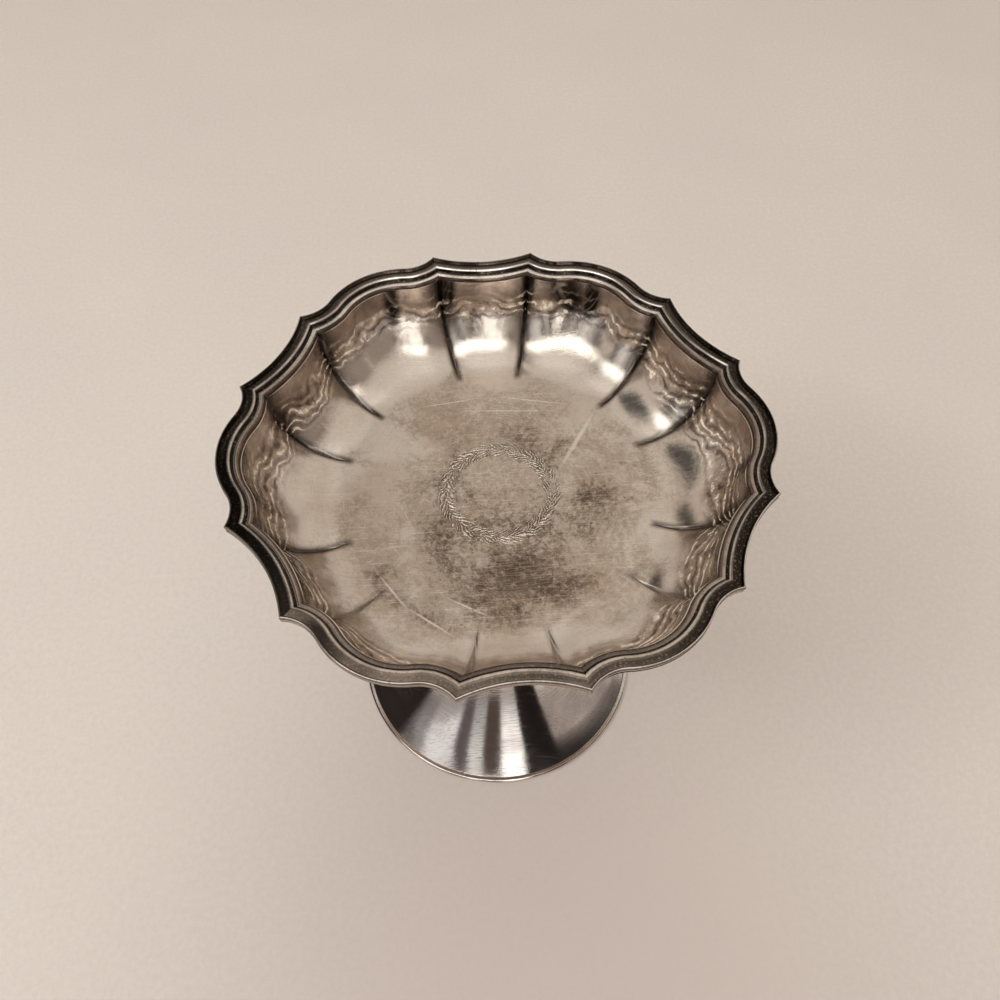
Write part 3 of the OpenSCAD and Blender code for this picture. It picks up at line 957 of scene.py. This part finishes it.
# The room is beige behind the bowl, white overhead and dark brown on the camera's side, with
# blurred furnishing. Steepness goes from 0 straight down to 1 straight up.
room = Finish("room", bpy.data.worlds, "Background")
bpy.context.scene.world = room.material
way = room.node("TexCoord").outputs["Generated"]
_, way_to_back, way_up = room.along(way)
steepness = room.math("ADD", room.times(way_up, 0.5), 0.5)
far_side = room.ramp(
    steepness,
    (0.0, (0.5, 0.45, 0.4, 1)),
    (0.5, (0.55, 0.49, 0.44, 1)),
    (0.62, (0.66, 0.6, 0.54, 1)),
    (0.88, (0.74, 0.68, 0.6, 1)),
    (0.96, (0.76, 0.71, 0.65, 1)),
    (0.985, (0.96, 0.92, 0.87, 1)),
)
near_side = room.ramp(
    steepness,
    (0.0, (0.5, 0.45, 0.4, 1)),
    (0.5, (0.45, 0.4, 0.36, 1)),
    (0.56, (0.3, 0.25, 0.22, 1)),
    (0.8, (0.14, 0.12, 0.11, 1)),
    (0.92, (0.68, 0.63, 0.58, 1)),
    (0.985, (0.96, 0.92, 0.87, 1)),
)
room_colour = room.mix(room.remap(way_to_back, -0.3, 0.05), near_side, far_side)
furnishing = room.remap(room.noise(way, scale=2.2), 0.5, 0.7, 0.0, 0.25)
room_colour = room.mix(furnishing, room_colour, (0.25, 0.21, 0.19, 1))
seen_directly = room.node("LightPath").outputs["Is Camera Ray"]
room.feed("Color", room.mix(seen_directly, room_colour, (0.66, 0.6, 0.55, 1)))


def screen(
    name, side_from, side_to, low, high, colour, strength=1.0, strength_below=None, away=1.5
):
    """A glowing screen bent round the bowl, hidden from the camera and mirrored in the metal.

    Its sides are given in degrees from +Y towards +X, its edges in degrees above the table. A
    strength below fades into the other one from its lower edge to half way up. Near boards are
    there for the foot to mirror and light and shade nothing.
    """
    bm = bmesh.new()
    side = math.radians(side_from)
    rise = math.radians(low)
    ahead = Vector((math.sin(side), math.cos(side), 0))
    start = away * (ahead * math.cos(rise) + Vector((0, 0, math.sin(rise))))
    bmesh.ops.spin(
        bm,
        geom=[bm.verts.new(start)],
        cent=(0, 0, 0),
        axis=(ahead.y, -ahead.x, 0),
        angle=math.radians(high - low),
        steps=6,
    )
    bmesh.ops.spin(
        bm,
        geom=bm.verts[:] + bm.edges[:],
        cent=(0, 0, 0),
        axis=(0, 0, 1),
        angle=-math.radians(side_to - side_from),
        steps=max(2, round(abs(side_to - side_from) / 6)),
    )
    hung = finished(bm, name)
    glow = Finish(name)
    glow.feed("Base Color", (0, 0, 0, 1))
    glow.feed("Specular IOR Level", 0.0)
    glow.feed("Emission Color", (*colour, 1))
    glow.feed("Emission Strength", strength)
    if strength_below is not None:
        _, _, height = glow.along(glow.place())
        bottom, top = (away * math.sin(math.radians(a)) for a in (low, high))
        fading = glow.remap(height, bottom, (bottom + top) / 2, strength_below, strength)
        glow.feed("Emission Strength", fading)
    hung.data.materials.append(glow.material)
    hung.visible_camera = False
    hung.visible_diffuse = hung.visible_shadow = away > 1


white = (1.0, 0.98, 0.95)
screen("window_high", 143, 264, 51, 72, white, 2.2)
screen("pale_high_left", -96, -84, 46, 68, (0.9, 0.86, 0.8))
screen("window_right", 165, 181, 0, 50, white, 1.8, 0.55)
screen("window_beside", 156, 164.5, 38, 50, white, 1.8)
screen("window_narrow", -165, -155, 0, 50, white, 0.75, 0.3)
screen("grey_beam", -78, -26, 42, 67, (0.12, 0.115, 0.11))
screen("dark_board", -178.5, -166, 0, 51, (0.09, 0.065, 0.055))
screen("dark_strip", -154, -144.5, 0, 50, (0.12, 0.1, 0.1))
screen("pale_wall_left", -144, -122.5, 7, 50, (0.85, 0.83, 0.82))
screen("pale_wall_foot", -144, -122.5, 0, 6.5, (0.48, 0.45, 0.43))
screen("grey_wall_left", -122, -113.5, 0, 43, (0.33, 0.31, 0.3))
screen("dim_wall_left", -113, -106.5, 0, 43, (0.13, 0.12, 0.12))
screen("lit_wall_left", -106, -80, 0, 40, (0.66, 0.6, 0.55))
screen("cupboard_right", 144.5, 164.5, 4, 37.5, (0.55, 0.51, 0.48))
screen("wall_right_low", 90, 144, 0, 14, (0.42, 0.37, 0.33))
screen("wall_right", 90, 144, 14.5, 48, (0.36, 0.31, 0.28))
screen("near_board_left", -115, -70, 1, 45, (0.022, 0.017, 0.015), away=0.135)
screen("near_board_front", 146, 167, 1, 46, (0.012, 0.009, 0.008), away=0.14)
screen("near_board_right", 92, 146, 14, 46, (1.0, 0.86, 0.78), 0.035, 0.26, away=0.14)

# One large soft lamp at the left lights the cloth and isn't mirrored in the metal.
lamp_away = 1.5
lamp_rise = math.radians(50)
lamp_data = bpy.data.lights.new("soft_lamp", "AREA")
lamp_data.shape = "DISK"
lamp_data.size = 0.7
lamp_data.energy = 12
lamp_data.color = (0.95, 0.97, 1.0)
lamp = bpy.data.objects.new("soft_lamp", lamp_data)
bpy.context.scene.collection.objects.link(lamp)
lamp_way = Vector((-0.93, -0.25, 0)).normalized() * math.cos(lamp_rise)
lamp_way.z = math.sin(lamp_rise)
lamp_turn = lamp_way.to_track_quat("Z", "Y").to_matrix().to_4x4()
lamp.matrix_world = Matrix.Translation(lamp_way * lamp_away) @ lamp_turn
lamp.visible_glossy = False

# The camera looks steeply down from the front. Its place, lens and angles follow from where the
# photograph shows the rim's points and the edge of the foot.
camera_place = Vector((-0.01389, -0.16624, 0.36113))
heading, pitch, roll = (math.radians(a) for a in (4.901, 55.622, -0.6576))
camera_data = bpy.data.cameras.new("camera")
camera_data.sensor_fit = "HORIZONTAL"
camera_data.sensor_width = 36
camera_data.lens = 32.646
camera_data.clip_start = 0.01
camera_data.clip_end = 20
ahead = Vector(
    (math.sin(heading) * math.cos(pitch), math.cos(heading) * math.cos(pitch), -math.sin(pitch))
)
level = Vector((math.cos(heading), -math.sin(heading), 0))
down = ahead.cross(level)
right = math.cos(roll) * level + math.sin(roll) * down
up = math.sin(roll) * level - math.cos(roll) * down
camera = bpy.data.objects.new("camera", camera_data)
bpy.context.scene.collection.objects.link(camera)
camera_turn = Matrix((right, up, -ahead)).transposed().to_4x4()
camera.matrix_world = Matrix.Translation(camera_place) @ camera_turn
bpy.context.scene.camera = camera
bpy.context.scene.view_settings.view_transform = "Standard"
